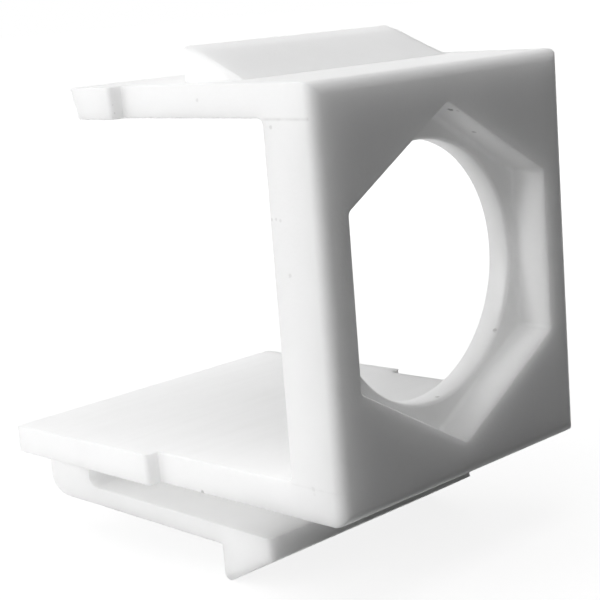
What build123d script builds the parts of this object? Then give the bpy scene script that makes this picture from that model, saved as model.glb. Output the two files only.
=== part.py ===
from build123d import *
from math import radians, tan
import os

# Keystone insert housing, moulded in one piece. All sizes are in millimetres.
# Frame: +X to the right of the face, +Y towards the back, +Z up.
# The origin is on the bore axis, at the floor of the hexagonal recess, where the coupler seats.

# Face plate
face_width = 14.5
face_height = 16.26
face_thick = 2.6
face_edge_radius = 0.5

# Seat of the coupler in the face plate
hex_across_flats = 11.6
hex_depth = 1.55
hex_draft_angle = 3.0
hex_corner_radius = 0.15
hex_mouth_bevel = 0.08
bore_diameter = 10.44
bore_height = 8.13
bore_rim_radius = 0.18

# Top arm
arm_thick = 1.28
arm_length = 10.4

# Bottom plate, a little thinner towards the back
plate_root_thick = 1.4
plate_rear_thick = 1.22
plate_length = 17.05

# Ears, whose front shoulders stop the housing behind the port's ledge
ear_width = 15.7
shoulder_distance = 10.45
ear_rear_lean = 0.4
ear_corner_radius = 0.25

# Fixed wedge catch on the top arm
catch_width = 11.9
catch_foot_distance = 4.95
catch_height = 1.4
catch_ramp_angle = 25.5
catch_ramp_length = 2.35
catch_foot_radius = 0.4
catch_bend_radius = 2.0
catch_crown_radius = 0.12
catch_side_radius = 0.3

# Latch under the bottom plate, whose strip hangs a little lower at its free front end
latch_width = 12.6
latch_root_length = 2.85
latch_gap = 1.54
latch_strip_thick = 0.84
latch_droop = 0.16
latch_bend_radius = 1.25
latch_slot_radius = 0.5
latch_front_distance = 5.1
latch_nose_height = 0.93
latch_hook_height = 1.7
latch_hook_lead = 0.15
latch_tip_radius = 0.3
latch_corner_radius = 0.5

# Both catches hold the port's ledge at this distance behind the face
locking_distance = 8.2

# Radius the mould leaves in the inner corners behind the face plate
inner_corner_radius = 0.25

# Heights and distances in the frame of the origin
face_front = -hex_depth
face_back = face_front + face_thick
plate_bottom = -bore_height
plate_top_at_face = plate_bottom + plate_root_thick
plate_top_at_rear = plate_bottom + plate_rear_thick
plate_rear = face_back + plate_length
arm_top = plate_bottom + face_height
arm_bottom = arm_top - arm_thick
arm_rear = face_back + arm_length
arm_rear_at_bottom = arm_rear - ear_rear_lean
shoulder = face_front + shoulder_distance
locking_edge = face_front + locking_distance
latch_front = face_front + latch_front_distance
latch_slot_end = plate_rear - latch_root_length
hook_edge = locking_edge - latch_hook_lead
catch_foot = face_front + catch_foot_distance
catch_top = arm_top + catch_height


def plate_top_at(distance):
    # Height of the bottom plate's sloping upper side
    share = (distance - face_back) / plate_length
    return plate_top_at_face + share * (plate_top_at_rear - plate_top_at_face)


def latch_top_at(distance):
    # Height of the strip's upper side, which droops towards the face
    share = (latch_slot_end - distance) / (latch_slot_end - latch_front)
    return plate_bottom - latch_gap - share * latch_droop


def side_outline(*points):
    return make_face(Polyline(*points, close=True))


def round_corner(outline, corner, radius):
    nearest = outline.vertices().sort_by_distance(corner)[0]
    return fillet(nearest, radius)


def across(outline, width):
    # A side outline becomes a solid centred on the mirror plane
    return extrude(Plane.YZ * outline, width / 2, both=True)


def face_arm_and_plate():
    # The face plate with the two flat plates that run back from it, as one bracket
    outline = side_outline(
        (face_front, plate_bottom),
        (face_front, arm_top),
        (arm_rear, arm_top),
        (arm_rear_at_bottom, arm_bottom),
        (face_back, arm_bottom),
        (face_back, plate_top_at_face),
        (plate_rear, plate_top_at_rear),
        (plate_rear, plate_bottom),
    )
    outline = round_corner(outline, (face_back, arm_bottom), inner_corner_radius)
    outline = round_corner(outline, (face_back, plate_top_at_face), inner_corner_radius)
    bracket = across(outline, face_width)
    front_rim = bracket.faces().sort_by(Axis.Y)[0].outer_wire().edges()
    return fillet(front_rim, face_edge_radius)


def with_round_shoulders(ears):
    # The upright corners at the front of the ears
    corners = ears.edges().filter_by(Axis.Z).sort_by(Axis.Y)[:2]
    return fillet(corners, ear_corner_radius)


def arm_ears():
    outline = side_outline(
        (shoulder, arm_bottom),
        (shoulder, arm_top),
        (arm_rear, arm_top),
        (arm_rear_at_bottom, arm_bottom),
    )
    return with_round_shoulders(across(outline, ear_width))


def plate_ears():
    outline = side_outline(
        (shoulder, plate_bottom),
        (shoulder, plate_top_at(shoulder)),
        (plate_rear, plate_top_at_rear),
        (plate_rear, plate_bottom),
    )
    return with_round_shoulders(across(outline, ear_width))


def wedge_catch():
    # A ramp that rises from the arm in a hollow curve and bends over into a low crown,
    # with an upright locking face behind it
    lead = catch_foot - catch_foot_radius
    root_height = arm_top - arm_thick / 2
    foot = (catch_foot, arm_top)
    ramp_top = (
        catch_foot + catch_ramp_length,
        arm_top + catch_ramp_length * tan(radians(catch_ramp_angle)),
    )
    crown = (locking_edge, catch_top)
    outline = side_outline(
        (lead, arm_top),
        foot,
        ramp_top,
        crown,
        (locking_edge, root_height),
        (lead, root_height),
    )
    outline = round_corner(outline, foot, catch_foot_radius)
    outline = round_corner(outline, ramp_top, catch_bend_radius)
    outline = round_corner(outline, crown, catch_crown_radius)
    wedge = across(outline, catch_width)
    sides = wedge.faces().filter_by(Axis.X).edges()
    upper = sides.filter_by_position(Axis.Z, arm_top, catch_top, inclusive=(False, True))
    return fillet(upper, catch_side_radius)


def latch():
    # Root block at the plate's rear edge, a thin strip below the plate and a hook at its front end
    root_bottom = latch_top_at(plate_rear) - latch_strip_thick
    hook_root = latch_top_at(hook_edge) - latch_strip_thick
    nose_top = latch_top_at(latch_front)
    slot_corner = (latch_slot_end, latch_top_at(latch_slot_end))
    hook_tip = (hook_edge, hook_root - latch_hook_height)
    outline = side_outline(
        (plate_rear, plate_bottom + plate_rear_thick / 2),
        (plate_rear, root_bottom),
        (hook_edge, hook_root),
        hook_tip,
        (latch_front, nose_top - latch_nose_height),
        (latch_front, nose_top),
        slot_corner,
        (latch_slot_end, plate_bottom + plate_rear_thick / 2),
    )
    outline = round_corner(outline, (plate_rear, root_bottom), latch_bend_radius)
    outline = round_corner(outline, hook_tip, latch_tip_radius)
    outline = round_corner(outline, slot_corner, latch_slot_radius)
    strip = across(outline, latch_width)
    front_corners = strip.edges().filter_by(Axis.Z).sort_by(Axis.Y)[:2]
    return fillet(front_corners, latch_corner_radius)


def rounded_hexagon(across_flats, corner_radius):
    # A corner points up and another down
    hexagon = RegularPolygon(across_flats / 2, 6, major_radius=False, rotation=30)
    return fillet(hexagon.vertices(), corner_radius)


def coupler_seat():
    # A six-sided pocket that narrows with depth, with a small bevel round its mouth
    mouth = rounded_hexagon(hex_across_flats, hex_corner_radius)
    wide_mouth = rounded_hexagon(
        hex_across_flats + 2 * hex_mouth_bevel, hex_corner_radius + hex_mouth_bevel
    )
    face = Plane.XZ.offset(-face_front)
    bevel_foot = Plane.XZ.offset(-face_front - hex_mouth_bevel)
    bevel = extrude(face * wide_mouth, -hex_mouth_bevel, taper=45)
    pocket = extrude(bevel_foot * mouth, -(hex_depth - hex_mouth_bevel), taper=hex_draft_angle)
    return pocket + bevel


def coupler_bore():
    # Turned about the bore axis: a straight hole whose front rim is rounded
    radius = bore_diameter / 2
    outline = side_outline(
        (0, -bore_rim_radius),
        (radius + 2 * bore_rim_radius, -bore_rim_radius),
        (radius + 2 * bore_rim_radius, 0),
        (radius, 0),
        (radius, face_back),
        (0, face_back),
    )
    outline = round_corner(outline, (radius, 0), bore_rim_radius)
    return revolve(outline, Axis.Y)


adapter_housing = face_arm_and_plate() + arm_ears() + plate_ears() + wedge_catch() + latch()
adapter_housing -= coupler_seat()
adapter_housing -= coupler_bore()

os.makedirs("parts", exist_ok=True)
export_step(adapter_housing, "parts/adapter_housing.step")
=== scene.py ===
import math

import bmesh
import bpy
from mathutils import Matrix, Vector


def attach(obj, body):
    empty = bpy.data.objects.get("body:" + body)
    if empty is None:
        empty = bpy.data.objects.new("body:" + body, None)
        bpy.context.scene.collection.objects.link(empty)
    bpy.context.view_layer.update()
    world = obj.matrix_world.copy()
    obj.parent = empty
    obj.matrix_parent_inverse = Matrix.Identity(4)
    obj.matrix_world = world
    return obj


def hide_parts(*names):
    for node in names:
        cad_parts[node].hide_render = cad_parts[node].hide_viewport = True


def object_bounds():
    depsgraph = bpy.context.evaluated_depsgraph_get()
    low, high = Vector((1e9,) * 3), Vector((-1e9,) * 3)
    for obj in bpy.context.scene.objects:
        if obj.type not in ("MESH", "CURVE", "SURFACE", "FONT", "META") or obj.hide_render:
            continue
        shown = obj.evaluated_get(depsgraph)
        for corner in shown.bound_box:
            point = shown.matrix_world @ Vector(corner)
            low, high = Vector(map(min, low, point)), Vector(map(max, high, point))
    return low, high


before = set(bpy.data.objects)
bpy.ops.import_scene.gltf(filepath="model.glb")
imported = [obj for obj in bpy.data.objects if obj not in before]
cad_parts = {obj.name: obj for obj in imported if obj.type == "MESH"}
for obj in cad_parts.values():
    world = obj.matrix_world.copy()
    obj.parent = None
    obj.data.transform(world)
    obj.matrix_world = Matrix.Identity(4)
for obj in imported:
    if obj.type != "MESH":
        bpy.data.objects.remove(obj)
cadLow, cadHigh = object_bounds()
mm = 0.001
print("frame loaded")


# selects the faces or edges of the mesh being edited that pass a test, which gets the middle
# in mm and then a face's normal or an edge's run
def select(kind, test):
    mesh = bmesh.from_edit_mesh(bpy.context.object.data)
    bpy.ops.mesh.select_all(action="DESELECT")
    for item in getattr(mesh, kind):
        if kind == "faces":
            chosen = test(item.calc_center_median() / mm, item.normal)
        else:
            a, b = (v.co / mm for v in item.verts)
            chosen = test((a + b) / 2, b - a)
        if chosen:
            item.select_set(True)
    bpy.ops.mesh.select_mode(type="FACE" if kind == "faces" else "EDGE")
    bmesh.update_edit_mesh(bpy.context.object.data)


def near(a, b, slack=0.02):
    return abs(a - b) < slack


# a cube between two corners in mm, left in edit mode
def addBlock(name, low, high):
    bpy.ops.object.select_all(action="DESELECT")
    bpy.ops.mesh.primitive_cube_add(size=1)
    block = bpy.context.object
    block.name = name
    bpy.ops.object.mode_set(mode="EDIT")
    size = [(h - l) * mm for l, h in zip(low, high)]
    bpy.ops.transform.resize(value=size)
    middle = [(h + l) / 2 * mm for l, h in zip(low, high)]
    bpy.ops.transform.translate(value=middle)
    return block


def cutAt(place, normal):
    bpy.ops.mesh.select_all(action="SELECT")
    bpy.ops.mesh.bisect(plane_co=[c * mm for c in place], plane_no=normal)


# extrudes the faces that pass the test by a move in mm
def pull(test, move):
    select("faces", test)
    bpy.ops.mesh.extrude_region_move(
        TRANSFORM_OT_translate={"value": [m * mm for m in move]}
    )


def shift(test, move):
    select("edges", test)
    bpy.ops.transform.translate(value=[m * mm for m in move])


def roundEdges(test, size, steps):
    select("edges", test)
    bpy.ops.mesh.bevel(
        offset=size * mm, segments=steps, profile=0.5, affect="EDGES", clamp_overlap=False
    )


def joinOrCut(target, tool, operation):
    bpy.ops.object.select_all(action="DESELECT")
    bpy.context.view_layer.objects.active = target
    target.select_set(True)
    change = target.modifiers.new(operation.lower(), "BOOLEAN")
    change.operation = operation
    change.solver = "EXACT"
    change.object = tool
    bpy.ops.object.modifier_apply(modifier=change.name)
    bpy.data.objects.remove(tool)


def leaveEdit():
    bpy.ops.mesh.select_all(action="SELECT")
    bpy.ops.mesh.remove_doubles(threshold=0.0005 * mm)
    bpy.ops.mesh.normals_make_consistent(inside=False)
    bpy.ops.object.mode_set(mode="OBJECT")


housing = {
    "half": 7.25,
    "front": -1.55,
    "back": 1.05,
    "bottom": -8.13,
    "top": 8.13,
    "armUnder": 6.85,
    "armRear": 11.45,
    "armLean": 0.4,
    "plateTop": -6.73,
    "plateTopRear": -6.91,
    "plateRear": 18.1,
    "shoulder": 8.9,
    "earHalf": 7.85,
    "rimRadius": 0.5,
    "earRadius": 0.25,
    "innerRadius": 0.25,
    "fineRadius": 0.06,
}


def buildBracket():
    h = housing
    block = addBlock(
        "housing", (-h["half"], h["front"], h["bottom"]), (h["half"], h["back"], h["top"])
    )
    cutAt((0, 0, h["armUnder"]), (0, 0, 1))
    cutAt((0, 0, h["plateTop"]), (0, 0, 1))
    # the arm and the plate each come out in two lengths, so that the ears have their own faces
    pull(lambda c, n: n.y > 0.9 and c.z > h["armUnder"], (0, h["shoulder"] - h["back"], 0))
    pull(lambda c, n: n.y > 0.9 and c.z < h["plateTop"], (0, h["shoulder"] - h["back"], 0))
    pull(
        lambda c, n: n.y > 0.9 and c.y > 5 and c.z > 0,
        (0, h["armRear"] - h["shoulder"], 0),
    )
    pull(
        lambda c, n: n.y > 0.9 and c.y > 5 and c.z < 0,
        (0, h["plateRear"] - h["shoulder"], 0),
    )
    out = h["earHalf"] - h["half"]
    for side in (-1, 1):
        pull(lambda c, n: n.x * side > 0.9 and c.y > h["shoulder"], (side * out, 0, 0))
    # the arm's rear end leans, and the plate gets thinner towards its rear edge
    shift(
        lambda c, d: near(c.y, h["armRear"]) and near(c.z, h["armUnder"]) and abs(d.x) > 0.1,
        (0, -h["armLean"], 0),
    )
    drop = h["plateTopRear"] - h["plateTop"]
    middle = drop * (h["shoulder"] - h["back"]) / (h["plateRear"] - h["back"])
    shift(
        lambda c, d: near(c.y, h["plateRear"]) and near(c.z, h["plateTop"]) and abs(d.x) > 0.1,
        (0, 0, drop),
    )
    shift(
        lambda c, d: near(c.y, h["shoulder"]) and near(c.z, h["plateTop"]) and abs(d.x) > 0.1,
        (0, 0, middle),
    )
    bpy.ops.mesh.select_all(action="SELECT")
    bpy.ops.mesh.dissolve_limited(angle_limit=math.radians(0.2))
    leaveEdit()
    return block


# how much an edge of the bracket is rounded, by its middle c and its run d in mm
def bracketRadius(c, d):
    h = housing
    outer = near(abs(c.x), h["half"]) or near(c.z, h["top"]) or near(c.z, h["bottom"])
    if near(c.y, h["front"]) and outer:
        return h["rimRadius"]
    if near(abs(c.x), h["earHalf"]) and near(c.y, h["shoulder"]):
        return h["earRadius"]
    if near(c.y, h["back"]) and abs(d.x) > 10:
        return h["innerRadius"]
    return h["fineRadius"]


# rounds every edge that turns by leastTurn degrees or more, each by its own radius
def roundByWeight(piece, radiusOf, widest, steps, leastTurn=12):
    mesh = bmesh.new()
    mesh.from_mesh(piece.data)
    weight = mesh.edges.layers.float.new("bevel_weight_edge")
    for edge in mesh.edges:
        if edge.calc_face_angle(0) > math.radians(leastTurn):
            a, b = (v.co / mm for v in edge.verts)
            edge[weight] = radiusOf((a + b) / 2, b - a) / widest
    mesh.to_mesh(piece.data)
    mesh.free()
    bpy.ops.object.select_all(action="DESELECT")
    bpy.context.view_layer.objects.active = piece
    piece.select_set(True)
    change = piece.modifiers.new("rounding", "BEVEL")
    change.limit_method = "WEIGHT"
    change.width = widest * mm
    change.segments = steps
    change.use_clamp_overlap = False
    change.miter_outer = "MITER_ARC"
    bpy.ops.object.modifier_apply(modifier=change.name)


wedge = {
    "half": 5.95,
    "lead": 3.0,
    "foot": 3.4,
    "bend": 5.75,
    "lock": 6.65,
    "armTop": 8.13,
    "bendHeight": 9.251,
    "crown": 9.53,
    "root": 7.5,
    "footRadius": 0.09,
    "bendRadius": 0.145,
    "crownRadius": 0.18,
    "sideRadius": 0.3,
}


def buildWedge():
    w = wedge
    block = addBlock(
        "wedge", (-w["half"], w["foot"], w["root"]), (w["half"], w["lock"], w["crown"])
    )
    cutAt((0, 0, w["armTop"]), (0, 0, 1))
    cutAt((0, w["bend"], 0), (0, 1, 0))
    shift(
        lambda c, d: near(c.y, w["bend"]) and near(c.z, w["crown"]),
        (0, 0, w["bendHeight"] - w["crown"]),
    )
    shift(
        lambda c, d: near(c.y, w["foot"]) and near(c.z, w["crown"]),
        (0, 0, w["armTop"] - w["crown"]),
    )
    pull(lambda c, n: n.y < -0.9 and c.z < w["armTop"] - 0.1, (0, w["lead"] - w["foot"], 0))
    bpy.ops.mesh.select_all(action="SELECT")
    bpy.ops.mesh.dissolve_limited(angle_limit=math.radians(0.2))
    leaveEdit()
    return block


# how much an edge of the wedge is rounded
def wedgeRadius(c, d):
    w = wedge
    if abs(d.x) > 10:
        places = {
            ("lock", "crown"): "crownRadius",
            ("bend", "bendHeight"): "bendRadius",
            ("foot", "armTop"): "footRadius",
        }
        for (y, z), radius in places.items():
            if near(c.y, w[y]) and near(c.z, w[z]):
                return w[radius]
        return 0
    if c.z > w["armTop"] + 0.05 and abs(d.y) > 0.01:
        return w["sideRadius"]
    return w["crownRadius"] if abs(d.z) > 0.01 and near(c.y, w["lock"]) else 0


latch = {
    "half": 6.3,
    "front": 3.55,
    "slotEnd": 15.25,
    "rear": 18.1,
    "hookEdge": 6.5,
    "top": -9.67,
    "droop": 0.16,
    "thick": 0.84,
    "hookHeight": 1.7,
    "noseHeight": 0.93,
    "root": -7.52,
    "bendRadius": 1.25,
    "slotRadius": 0.5,
    "tipRadius": 0.55,
    "cornerRadius": 0.5,
    "fineRadius": 0.06,
}


def buildLatch():
    t = latch
    under = t["top"] - t["thick"]
    block = addBlock(
        "latch", (-t["half"], t["front"], under), (t["half"], t["slotEnd"], t["top"])
    )
    cutAt((0, t["hookEdge"], 0), (0, 1, 0))
    pull(lambda c, n: n.z < -0.9 and c.y < t["hookEdge"], (0, 0, -t["hookHeight"]))
    tip = under - t["hookHeight"]
    nose = t["top"] - t["noseHeight"]
    shift(
        lambda c, d: near(c.y, t["front"]) and near(c.z, tip) and abs(d.x) > 10,
        (0, 0, nose - tip),
    )
    # the whole strip droops towards its front end
    slope = t["droop"] / (t["slotEnd"] - t["front"])
    for place in (t["front"], t["hookEdge"]):
        shift(
            lambda c, d: near(c.y, place) and abs(d.x) > 10,
            (0, 0, -slope * (t["slotEnd"] - place)),
        )
    pull(lambda c, n: n.y > 0.9 and c.y > 15, (0, t["rear"] - t["slotEnd"], 0))
    pull(
        lambda c, n: n.z > 0.9 and c.y > t["slotEnd"],
        (0, 0, t["root"] - t["top"]),
    )
    # the broad roundings come first, and the fine ones then run along them
    roundEdges(
        lambda c, d: near(c.y, t["rear"]) and near(c.z, under) and abs(d.x) > 10,
        t["bendRadius"],
        8,
    )
    roundEdges(
        lambda c, d: near(c.y, t["slotEnd"]) and near(c.z, t["top"]) and abs(d.x) > 10,
        t["slotRadius"],
        8,
    )
    roundEdges(
        lambda c, d: near(c.y, t["hookEdge"]) and c.z < -11 and abs(d.x) > 10,
        t["tipRadius"],
        8,
    )
    leaveEdit()
    return block


# how much an edge of the latch is rounded, beside its three broad roundings
def latchRadius(c, d):
    t = latch
    if near(abs(c.x), t["half"]) and near(c.y, t["front"]) and abs(d.z) > 0.5:
        return t["cornerRadius"]
    return 0 if c.z > -8 else t["fineRadius"]


seat = {
    "acrossFlats": 11.6,
    "draft": 3.0,
    "front": -1.55,
    "cornerRadius": 0.15,
    "floorRadius": 0.2,
    "mouthRadius": 0.1,
    "boreRadius": 5.22,
    "boreFrontRadius": 0.18,
    "boreRearRadius": 0.06,
    "boreEnd": 1.05,
    "boreSides": 144,
}


# a cylinder or prism along Y from start to end in mm, left in edit mode
def addPrism(name, sides, radius, start, end):
    bpy.ops.object.select_all(action="DESELECT")
    bpy.ops.mesh.primitive_cylinder_add(
        vertices=sides, radius=radius * mm, depth=(end - start) * mm
    )
    prism = bpy.context.object
    prism.name = name
    prism.rotation_euler.x = math.radians(90)
    prism.location.y = (start + end) / 2 * mm
    bpy.ops.object.transform_apply(location=True, rotation=True, scale=True)
    bpy.ops.object.mode_set(mode="EDIT")
    return prism


# widens the end of a prism in a step and takes it on by a run in mm
def flange(test, growth, run):
    pull(test, (0, 0, 0))
    bpy.ops.transform.resize(value=(growth, 1, growth))
    bpy.ops.mesh.extrude_region_move(TRANSFORM_OT_translate={"value": (0, run * mm, 0)})


def buildSeat():
    s = seat
    gap = 0.01
    mouth = s["front"] - gap
    flats = s["acrossFlats"] / 2
    corner = flats / math.cos(math.radians(30))
    prism = addPrism("seat", 6, corner, mouth, 0)
    select("faces", lambda c, n: n.y > 0.9)
    narrow = 1 + mouth * math.tan(math.radians(s["draft"])) / flats
    bpy.ops.transform.resize(value=(narrow, 1, narrow))
    roundEdges(lambda c, d: abs(d.y) > 1, s["cornerRadius"], 3)
    roundEdges(lambda c, d: near(c.y, 0), s["floorRadius"], 4)
    flange(lambda c, n: n.y < -0.9, 1.1, -0.5)
    roundEdges(
        lambda c, d: near(c.y, mouth) and math.hypot(c.x, c.z) < corner * 1.03 and isMouth(c),
        s["mouthRadius"],
        4,
    )
    leaveEdit()
    return prism


# true on the pocket's own outline, and not on its flange's
def isMouth(c):
    turn = math.atan2(c.x, c.z) % math.radians(60) - math.radians(30)
    return math.hypot(c.x, c.z) * math.cos(turn) < seat["acrossFlats"] / 2 * 1.05


def buildBore():
    s = seat
    gap = 0.01
    prism = addPrism("bore", s["boreSides"], s["boreRadius"], -gap, s["boreEnd"] + gap)
    flange(lambda c, n: n.y < -0.9 and c.y < 0, 1.07, -0.4)
    flange(lambda c, n: n.y > 0.9 and c.y > s["boreEnd"], 1.07, 0.4)
    reach = s["boreRadius"] * 1.03
    roundEdges(
        lambda c, d: near(c.y, -gap, 0.002) and math.hypot(c.x, c.z) < reach,
        s["boreFrontRadius"],
        4,
    )
    roundEdges(
        lambda c, d: near(c.y, s["boreEnd"] + gap, 0.002) and math.hypot(c.x, c.z) < reach,
        s["boreRearRadius"],
        2,
    )
    leaveEdit()
    return prism


bracket = buildBracket()
roundByWeight(bracket, bracketRadius, housing["rimRadius"], steps=4)
wedgeCatch = buildWedge()
roundByWeight(wedgeCatch, wedgeRadius, wedge["sideRadius"], steps=5, leastTurn=5)
latchStrip = buildLatch()
roundByWeight(latchStrip, latchRadius, latch["cornerRadius"], steps=4, leastTurn=20)
joinOrCut(bracket, wedgeCatch, "UNION")
joinOrCut(bracket, latchStrip, "UNION")
joinOrCut(bracket, buildSeat(), "DIFFERENCE")
joinOrCut(bracket, buildBore(), "DIFFERENCE")
bpy.ops.object.shade_smooth_by_angle(angle=math.radians(35))
evenFlats = bracket.modifiers.new("evenFlats", "WEIGHTED_NORMAL")
evenFlats.keep_sharp = True
evenFlats.weight = 100
bpy.ops.object.modifier_apply(modifier=evenFlats.name)
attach(bracket, "root")
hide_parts("adapter_housing")
print("housing modelled,", len(bracket.data.polygons), "faces")


def addNode(tree, kind, x, y, **settings):
    node = tree.nodes.new(kind)
    node.location = (x, y)
    for name, value in settings.items():
        setattr(node, name, value)
    return node


def newGroup(name, inputs, outputs):
    group = bpy.data.node_groups.new(name, "ShaderNodeTree")
    for label, kind, value in inputs:
        socket = group.interface.new_socket(label, in_out="INPUT", socket_type=kind)
        socket.default_value = value
    for label, kind in outputs:
        group.interface.new_socket(label, in_out="OUTPUT", socket_type=kind)
    given = addNode(group, "NodeGroupInput", -700, 0)
    return group, given, addNode(group, "NodeGroupOutput", 700, 0)


def placeGroup(tree, group, x, y, **values):
    node = addNode(tree, "ShaderNodeGroup", x, y, node_tree=group)
    for name, value in values.items():
        node.inputs[name].default_value = value
    return node


# a ragged round fleck at one place on the surface, as a mask
def buildFleck():
    group, given, out = newGroup(
        "fleck",
        [
            ("Position", "NodeSocketVector", (0, 0, 0)),
            ("Place", "NodeSocketVector", (0, 0, 0)),
            ("Size", "NodeSocketFloat", 0.15 * mm),
            ("Strength", "NodeSocketFloat", 0.5),
        ],
        [("Mask", "NodeSocketFloat")],
    )
    away = addNode(group, "ShaderNodeVectorMath", -420, 120, operation="DISTANCE")
    ragged = addNode(group, "ShaderNodeTexNoise", -420, -120)
    ragged.inputs["Scale"].default_value = 9000
    spread = addNode(group, "ShaderNodeMath", -180, -120, operation="MULTIPLY_ADD")
    spread.inputs[1].default_value = 1.4
    spread.inputs[2].default_value = 0.3
    limit = addNode(group, "ShaderNodeMath", 20, -60, operation="MULTIPLY")
    core = addNode(group, "ShaderNodeMath", 200, -160, operation="MULTIPLY")
    core.inputs[1].default_value = 0.45
    fade = addNode(group, "ShaderNodeMapRange", 420, 60, interpolation_type="SMOOTHSTEP")
    fade.inputs["To Max"].default_value = 0
    link = group.links.new
    link(given.outputs["Position"], away.inputs[0])
    link(given.outputs["Place"], away.inputs[1])
    link(given.outputs["Position"], ragged.inputs["Vector"])
    link(ragged.outputs["Fac"], spread.inputs[0])
    link(spread.outputs[0], limit.inputs[0])
    link(given.outputs["Size"], limit.inputs[1])
    link(limit.outputs[0], core.inputs[0])
    link(away.outputs["Value"], fade.inputs["Value"])
    link(core.outputs[0], fade.inputs["From Min"])
    link(limit.outputs[0], fade.inputs["From Max"])
    link(given.outputs["Strength"], fade.inputs["To Min"])
    link(fade.outputs[0], out.inputs["Mask"])
    return group


# a thin broken line where a height above or below the middle meets the side, as a mask
def buildSeam():
    group, given, out = newGroup(
        "seam",
        [
            ("Position", "NodeSocketVector", (0, 0, 0)),
            ("Height", "NodeSocketFloat", 0.0),
            ("Width", "NodeSocketFloat", 0.1 * mm),
            ("Strength", "NodeSocketFloat", 0.5),
        ],
        [("Mask", "NodeSocketFloat")],
    )
    axes = addNode(group, "ShaderNodeSeparateXYZ", -480, 160)
    gap = addNode(group, "ShaderNodeMath", -260, 160, operation="SUBTRACT")
    apart = addNode(group, "ShaderNodeMath", -80, 160, operation="ABSOLUTE")
    line = addNode(group, "ShaderNodeMapRange", 120, 160, interpolation_type="SMOOTHSTEP")
    line.inputs["From Min"].default_value = 0
    line.inputs["To Max"].default_value = 0
    wear = addNode(group, "ShaderNodeTexNoise", -480, -160)
    wear.inputs["Scale"].default_value = 1800
    broken = addNode(group, "ShaderNodeMapRange", -220, -160)
    broken.inputs["From Min"].default_value = 0.35
    broken.inputs["From Max"].default_value = 0.65
    broken.inputs["To Min"].default_value = 0.25
    whole = addNode(group, "ShaderNodeMath", 320, 0, operation="MULTIPLY")
    link = group.links.new
    link(given.outputs["Position"], axes.inputs[0])
    link(axes.outputs["Z"], gap.inputs[0])
    link(given.outputs["Height"], gap.inputs[1])
    link(gap.outputs[0], apart.inputs[0])
    link(apart.outputs[0], line.inputs["Value"])
    link(given.outputs["Width"], line.inputs["From Max"])
    link(given.outputs["Strength"], line.inputs["To Min"])
    link(given.outputs["Position"], wear.inputs["Vector"])
    link(wear.outputs["Fac"], broken.inputs["Value"])
    link(line.outputs[0], whole.inputs[0])
    link(broken.outputs[0], whole.inputs[1])
    link(whole.outputs[0], out.inputs["Mask"])
    return group


# moulded plastic: broad mottling, flow streaks that run from side to side, and a fine grain
def buildMoulding():
    group, given, out = newGroup(
        "mouldedSurface",
        [
            ("Position", "NodeSocketVector", (0, 0, 0)),
            ("Mottle", "NodeSocketFloat", 0.5),
            ("Streaks", "NodeSocketFloat", 0.5),
            ("Grain", "NodeSocketFloat", 0.5),
        ],
        [("Shade", "NodeSocketFloat"), ("Relief", "NodeSocketFloat")],
    )
    link = group.links.new
    mottle = addNode(group, "ShaderNodeTexNoise", -420, 320)
    mottle.inputs["Scale"].default_value = 420
    mottle.inputs["Detail"].default_value = 3
    stretch = addNode(group, "ShaderNodeMapping", -620, 0)
    stretch.inputs["Rotation"].default_value = (0, 0, math.radians(4))
    stretch.inputs["Scale"].default_value = (110, 1500, 320)
    streaks = addNode(group, "ShaderNodeTexNoise", -420, 0)
    streaks.inputs["Scale"].default_value = 1
    streaks.inputs["Detail"].default_value = 4
    streaks.inputs["Distortion"].default_value = 0.6
    grain = addNode(group, "ShaderNodeTexNoise", -420, -320)
    grain.inputs["Scale"].default_value = 7000
    grain.inputs["Detail"].default_value = 2
    link(given.outputs["Position"], mottle.inputs["Vector"])
    link(given.outputs["Position"], stretch.inputs["Vector"])
    link(stretch.outputs[0], streaks.inputs["Vector"])
    link(given.outputs["Position"], grain.inputs["Vector"])
    total = []
    for texture, amount, y in (
        (mottle, "Mottle", 320),
        (streaks, "Streaks", 0),
        (grain, "Grain", -320),
    ):
        centred = addNode(group, "ShaderNodeMath", -180, y, operation="SUBTRACT")
        centred.inputs[1].default_value = 0.5
        scaled = addNode(group, "ShaderNodeMath", 20, y, operation="MULTIPLY")
        link(texture.outputs["Fac"], centred.inputs[0])
        link(centred.outputs[0], scaled.inputs[0])
        link(given.outputs[amount], scaled.inputs[1])
        total.append(scaled)
    shade = addNode(group, "ShaderNodeMath", 260, 160, operation="ADD")
    relief = addNode(group, "ShaderNodeMath", 260, -160, operation="ADD")
    link(total[0].outputs[0], shade.inputs[0])
    link(total[1].outputs[0], shade.inputs[1])
    link(total[1].outputs[0], relief.inputs[0])
    link(total[2].outputs[0], relief.inputs[1])
    link(shade.outputs[0], out.inputs["Shade"])
    link(relief.outputs[0], out.inputs["Relief"])
    return group


plasticLook = {
    "colour": (0.93, 0.93, 0.926, 1),
    "shadeSpan": 0.13,
    "mottle": 0.45,
    "streaks": 0.06,
    "plateStreaks": 0.55,
    "plateTop": -6.82,
    "grain": 0.5,
    "reliefDepth": 0.012,
    "roughness": 0.36,
    "roughnessSpan": 0.12,
    "scatterReach": 1.4 * mm,
    "fleckColour": (0.2, 0.19, 0.18, 1),
    "seamLeftOf": -7.2,
    "seamFrontOf": 1.05,
}

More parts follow.
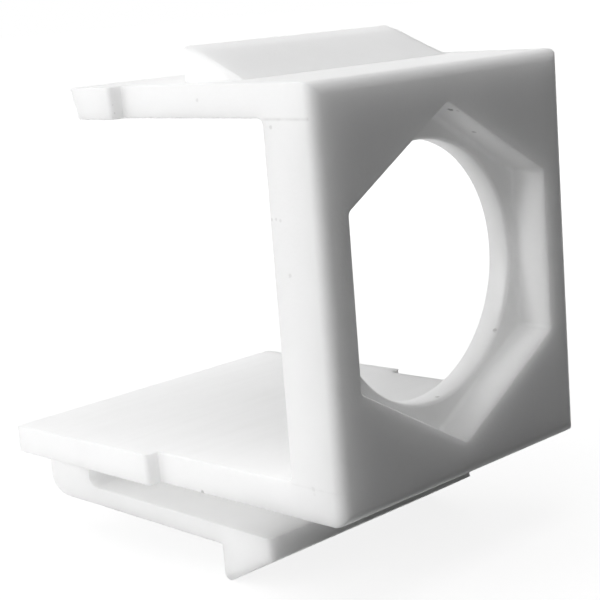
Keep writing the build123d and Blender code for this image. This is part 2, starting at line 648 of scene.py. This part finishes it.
# where the small dark flecks lie, in mm, with their size and strength
flecks = [
    ((0.64, -1.12, 6.37), 0.17, 0.8),
    ((0.76, -1.38, 6.31), 0.1, 0.3),
    ((2.42, -0.76, 5.25), 0.12, 0.4),
    ((0.42, 0.27, -5.2), 0.13, 0.4),
    ((4.12, 0.08, -3.2), 0.12, 0.4),
    ((-7.25, 6.27, -8.1), 0.14, 0.5),
    ((-7.25, 4.45, 7.54), 0.1, 0.16),
    ((-7.25, 0.24, 1.2), 0.1, 0.15),
    ((-7.25, 0.95, 3.22), 0.08, 0.16),
    ((-7.25, 0.73, 3.24), 0.08, 0.16),
    ((-7.25, 0.5, 3.2), 0.08, 0.14),
    ((-7.25, 0.62, 6.55), 0.1, 0.22),
    ((-7.25, -0.08, -6.79), 0.12, 0.1),
    ((-7.25, -0.12, -7.0), 0.09, 0.06),
    ((-7.76, 8.9, 7.43), 0.08, 0.22),
    ((-7.68, 8.9, 7.1), 0.06, 0.18),
    ((2.06, -1.55, -8.0), 0.1, 0.3),
]

# thin darker broken lines along the left side: height, width and strength, in mm
seams = [
    (6.83, 0.09, 0.22),
    (-6.79, 0.07, 0.05),
]


def buildPlastic():
    look = plasticLook
    material = bpy.data.materials.new("satinWhitePlastic")
    material.use_nodes = True
    tree = material.node_tree
    tree.nodes.clear()
    link = tree.links.new
    coords = addNode(tree, "ShaderNodeTexCoord", -1700, 0)
    position = coords.outputs["Object"]
    axes = addNode(tree, "ShaderNodeSeparateXYZ", -1500, -260)
    link(position, axes.inputs[0])
    # the streaks show on the plate's top and are faint elsewhere
    offPlate = addNode(tree, "ShaderNodeMath", -1480, -100, operation="SUBTRACT")
    offPlate.inputs[1].default_value = look["plateTop"] * mm
    link(axes.outputs["Z"], offPlate.inputs[0])
    apart = addNode(tree, "ShaderNodeMath", -1390, -140, operation="ABSOLUTE")
    link(offPlate.outputs[0], apart.inputs[0])
    onPlate = addNode(tree, "ShaderNodeMapRange", -1300, -200, interpolation_type="SMOOTHSTEP")
    onPlate.inputs["From Min"].default_value = 0.11 * mm
    onPlate.inputs["From Max"].default_value = 0.2 * mm
    onPlate.inputs["To Min"].default_value = look["plateStreaks"]
    onPlate.inputs["To Max"].default_value = look["streaks"]
    link(apart.outputs[0], onPlate.inputs["Value"])
    moulding = placeGroup(
        tree, buildMoulding(), -1080, 120, Mottle=look["mottle"], Grain=look["grain"]
    )
    link(position, moulding.inputs["Position"])
    link(onPlate.outputs[0], moulding.inputs["Streaks"])
    shade = addNode(tree, "ShaderNodeMath", -840, 120, operation="MULTIPLY_ADD")
    shade.inputs[1].default_value = look["shadeSpan"]
    shade.inputs[2].default_value = 1
    link(moulding.outputs["Shade"], shade.inputs[0])
    tint = addNode(tree, "ShaderNodeVectorMath", -640, 120, operation="SCALE")
    tint.inputs[0].default_value = look["colour"][:3]
    link(shade.outputs[0], tint.inputs["Scale"])
    # wherever a fleck or a seam lies, the strongest of their masks counts
    marks = None
    fleck = buildFleck()
    seam = buildSeam()
    places = [
        (fleck, {"Place": [v * mm for v in at], "Size": size * mm, "Strength": strength})
        for at, size, strength in flecks
    ]
    places += [
        (seam, {"Height": at * mm, "Width": width * mm, "Strength": strength})
        for at, width, strength in seams
    ]
    for step, (group, values) in enumerate(places):
        row = -460 - 220 * step
        mark = placeGroup(tree, group, -1300, row, **values)
        link(position, mark.inputs["Position"])
        mask = mark.outputs["Mask"]
        if group is seam:
            # only the left side of the face plate carries these darker lines
            limits = (("X", look["seamLeftOf"], -1080), ("Y", look["seamFrontOf"], -900))
            for axis, edge, x in limits:
                inside = addNode(tree, "ShaderNodeMath", x, row - 100, operation="LESS_THAN")
                inside.inputs[1].default_value = edge * mm
                link(axes.outputs[axis], inside.inputs[0])
                kept = addNode(tree, "ShaderNodeMath", x + 180, row, operation="MULTIPLY")
                link(mask, kept.inputs[0])
                link(inside.outputs[0], kept.inputs[1])
                mask = kept.outputs[0]
        if marks is None:
            marks = mask
        else:
            both = addNode(tree, "ShaderNodeMath", -520, row, operation="MAXIMUM")
            link(marks, both.inputs[0])
            link(mask, both.inputs[1])
            marks = both.outputs[0]
    stained = addNode(tree, "ShaderNodeMix", -300, 120, data_type="RGBA")
    colours = [s for s in stained.inputs if s.type == "RGBA"]
    colours[1].default_value = look["fleckColour"]
    link(marks, stained.inputs["Factor"])
    link(tint.outputs[0], colours[0])
    gloss = addNode(tree, "ShaderNodeMath", -300, -120, operation="MULTIPLY_ADD")
    gloss.inputs[1].default_value = look["roughnessSpan"]
    gloss.inputs[2].default_value = look["roughness"]
    link(moulding.outputs["Relief"], gloss.inputs[0])
    bump = addNode(tree, "ShaderNodeBump", -300, -320)
    bump.inputs["Strength"].default_value = 1
    bump.inputs["Distance"].default_value = look["reliefDepth"] * mm
    link(moulding.outputs["Relief"], bump.inputs["Height"])
    shader = addNode(tree, "ShaderNodeBsdfPrincipled", 0, 120)
    shader.inputs["IOR"].default_value = 1.5
    shader.inputs["Subsurface Weight"].default_value = 1
    shader.inputs["Subsurface Radius"].default_value = (1, 1, 1)
    shader.inputs["Subsurface Scale"].default_value = look["scatterReach"]
    out = addNode(tree, "ShaderNodeOutputMaterial", 320, 120)
    link([s for s in stained.outputs if s.type == "RGBA"][0], shader.inputs["Base Color"])
    link(gloss.outputs[0], shader.inputs["Roughness"])
    link(bump.outputs[0], shader.inputs["Normal"])
    link(shader.outputs[0], out.inputs["Surface"])
    return material


bracket.data.materials.clear()
bracket.data.materials.append(buildPlastic())
print("plastic made")


# bounceLeft and bounceRight are painted light and painted shade in the floor's colour for all
# rays but camera and reflection rays
floorLook = {
    "glowNear": 0.86,
    "glowFar": 1,
    "glowSpan": (20, 120),
    "cameraColour": 0.2,
    "bounceRight": 0.02,
    "bounceLeft": 0.85,
    "bounceAcross": (-0.6, 0.8, 0),
    "bounceSpan": (-2, 10),
}


# to the camera and in a reflection the floor is its own pale colour; to every other ray its
# colour is painted light on the left, where the light comes in, and almost black on the right,
# as painted light and painted shade for the light it sends back
def buildFloor():
    look = floorLook
    bpy.ops.object.select_all(action="DESELECT")
    bpy.ops.mesh.primitive_plane_add(size=3)
    floor = bpy.context.object
    floor.name = "floor"
    bpy.ops.object.mode_set(mode="EDIT")
    bpy.ops.transform.translate(value=(0, 0, cadLow.z - 0.02 * mm))
    bpy.ops.object.mode_set(mode="OBJECT")
    material = bpy.data.materials.new("paleFloor")
    material.use_nodes = True
    tree = material.node_tree
    tree.nodes.clear()
    link = tree.links.new
    coords = addNode(tree, "ShaderNodeTexCoord", -1100, 0)
    rays = addNode(tree, "ShaderNodeLightPath", -500, 420)
    seen = addNode(tree, "ShaderNodeMath", -260, 380, operation="MAXIMUM")
    link(rays.outputs["Is Camera Ray"], seen.inputs[0])
    link(rays.outputs["Is Glossy Ray"], seen.inputs[1])
    # the light that other rays get back, painted into the floor's colour: light on the left,
    # nearly black on the right
    across = addNode(tree, "ShaderNodeVectorMath", -880, 180, operation="DOT_PRODUCT")
    across.inputs[1].default_value = look["bounceAcross"]
    link(coords.outputs["Object"], across.inputs[0])
    bounce = addNode(tree, "ShaderNodeMapRange", -680, 180, interpolation_type="SMOOTHSTEP")
    bounce.inputs["From Min"].default_value = look["bounceSpan"][0] * mm
    bounce.inputs["From Max"].default_value = look["bounceSpan"][1] * mm
    bounce.inputs["To Min"].default_value = look["bounceRight"]
    bounce.inputs["To Max"].default_value = look["bounceLeft"]
    link(across.outputs["Value"], bounce.inputs["Value"])
    paintedBounce = addNode(tree, "ShaderNodeBsdfDiffuse", -260, 180)
    link(bounce.outputs[0], paintedBounce.inputs["Color"])
    # what the camera sees: a pale glow that is white further out, and the object's shadow
    reach = addNode(tree, "ShaderNodeVectorMath", -880, -180, operation="LENGTH")
    link(coords.outputs["Object"], reach.inputs[0])
    rise = addNode(tree, "ShaderNodeMapRange", -680, -180, interpolation_type="SMOOTHSTEP")
    rise.inputs["From Min"].default_value = look["glowSpan"][0] * mm
    rise.inputs["From Max"].default_value = look["glowSpan"][1] * mm
    rise.inputs["To Min"].default_value = look["glowNear"]
    rise.inputs["To Max"].default_value = look["glowFar"]
    link(reach.outputs["Value"], rise.inputs["Value"])
    glow = addNode(tree, "ShaderNodeEmission", -260, -180)
    link(rise.outputs[0], glow.inputs["Strength"])
    shadow = addNode(tree, "ShaderNodeBsdfDiffuse", -260, -20)
    shadow.inputs["Color"].default_value = (*[look["cameraColour"]] * 3, 1)
    both = addNode(tree, "ShaderNodeAddShader", -40, -100)
    link(shadow.outputs[0], both.inputs[0])
    link(glow.outputs[0], both.inputs[1])
    choice = addNode(tree, "ShaderNodeMixShader", 180, 100)
    link(seen.outputs[0], choice.inputs["Fac"])
    link(paintedBounce.outputs[0], choice.inputs[1])
    link(both.outputs[0], choice.inputs[2])
    out = addNode(tree, "ShaderNodeOutputMaterial", 400, 100)
    link(choice.outputs[0], out.inputs["Surface"])
    floor.data.materials.append(material)


worldLook = {"from": (-0.6, 0.72, 0.45), "span": (-0.6, 0.7), "dim": 0.006, "bright": 0.3}


# a plain white backdrop, and soft light that comes mostly from one side
def buildWorld():
    look = worldLook
    world = bpy.data.worlds.new("studio")
    bpy.context.scene.world = world
    world.use_nodes = True
    tree = world.node_tree
    tree.nodes.clear()
    link = tree.links.new
    coords = addNode(tree, "ShaderNodeTexCoord", -900, 0)
    facing = addNode(tree, "ShaderNodeVectorMath", -700, 0, operation="DOT_PRODUCT")
    facing.inputs[1].default_value = Vector(look["from"]).normalized()
    link(coords.outputs["Generated"], facing.inputs[0])
    light = addNode(tree, "ShaderNodeMapRange", -500, 0, interpolation_type="SMOOTHSTEP")
    light.inputs["From Min"].default_value = look["span"][0]
    light.inputs["From Max"].default_value = look["span"][1]
    light.inputs["To Min"].default_value = look["dim"]
    light.inputs["To Max"].default_value = look["bright"]
    link(facing.outputs["Value"], light.inputs["Value"])
    rays = addNode(tree, "ShaderNodeLightPath", -700, 340)
    seen = addNode(tree, "ShaderNodeMath", -500, 300, operation="MAXIMUM")
    link(rays.outputs["Is Camera Ray"], seen.inputs[0])
    link(rays.outputs["Is Glossy Ray"], seen.inputs[1])
    strength = addNode(tree, "ShaderNodeMix", -260, 100)
    strength.inputs["B"].default_value = 1
    link(seen.outputs[0], strength.inputs["Factor"])
    link(light.outputs[0], strength.inputs["A"])
    sky = addNode(tree, "ShaderNodeBackground", -40, 100)
    sky.inputs["Color"].default_value = (1, 1, 1, 1)
    link(strength.outputs[0], sky.inputs["Strength"])
    out = addNode(tree, "ShaderNodeOutputWorld", 180, 100)
    link(sky.outputs[0], out.inputs["Surface"])


# places and sizes in metres, power in watts; the lamps behind the object leave no sheen on it
softboxes = {
    "leftSoftbox": {"place": (-0.31, 0.16, 0.06), "size": (0.2, 0.3), "power": 0.66},
    "sideSoftbox": {"place": (-0.34, -0.052, 0.0), "size": (0.04, 0.3), "power": 0.17},
    "topSoftbox": {"place": (-0.08, -0.01, 0.27), "size": (0.24, 0.2), "power": 0.42},
    "rearSoftbox": {
        "place": (0.03, 0.2, 0.24),
        "size": (0.24, 0.16),
        "power": 0.11,
        "sheen": False,
    },
    "rightSoftbox": {
        "place": (0.15, 0.13, 0.09),
        "size": (0.1, 0.14),
        "power": 0.085,
        "sheen": False,
    },
    # stands for the light that the thin plate lets through onto the latch
    "slotGlow": {
        "place": (0, 0.0095, -0.00822),
        "size": (0.0124, 0.0105),
        "power": 0.00013,
        "target": (0, 0.0095, -1),
        "sheen": False,
    },
}


def addSoftbox(name, place, size, power, target=(0, 0.006, -0.002), sheen=True):
    aim = (Vector(target) - Vector(place)).to_track_quat("-Z", "Y")
    bpy.ops.object.light_add(type="AREA", location=place, rotation=aim.to_euler())
    box = bpy.context.object
    box.name = name
    box.data.shape = "RECTANGLE"
    box.data.size, box.data.size_y = size
    box.data.energy = power
    box.visible_camera = False
    box.visible_glossy = sheen


buildFloor()
buildWorld()
for name, settings in softboxes.items():
    addSoftbox(name, **settings)
print("floor, world and lamps placed")

# place in mm, turns in degrees, lens and sensor in mm
photoView = {
    "place": (-44.344, -38.436, 11.049),
    "turns": (78.616, 4.47, -45.015),
    "lens": 90.85,
    "sensor": 36,
}
bpy.ops.object.camera_add(location=[c * mm for c in photoView["place"]])
camera = bpy.context.object
camera.name = "photoCamera"
camera.rotation_euler = [math.radians(angle) for angle in photoView["turns"]]
camera.data.lens = photoView["lens"]
camera.data.sensor_width = photoView["sensor"]
camera.data.clip_start = 1 * mm
camera.data.clip_end = 10
bpy.context.scene.camera = camera
bpy.context.scene.view_settings.view_transform = "Standard"
print("camera placed")
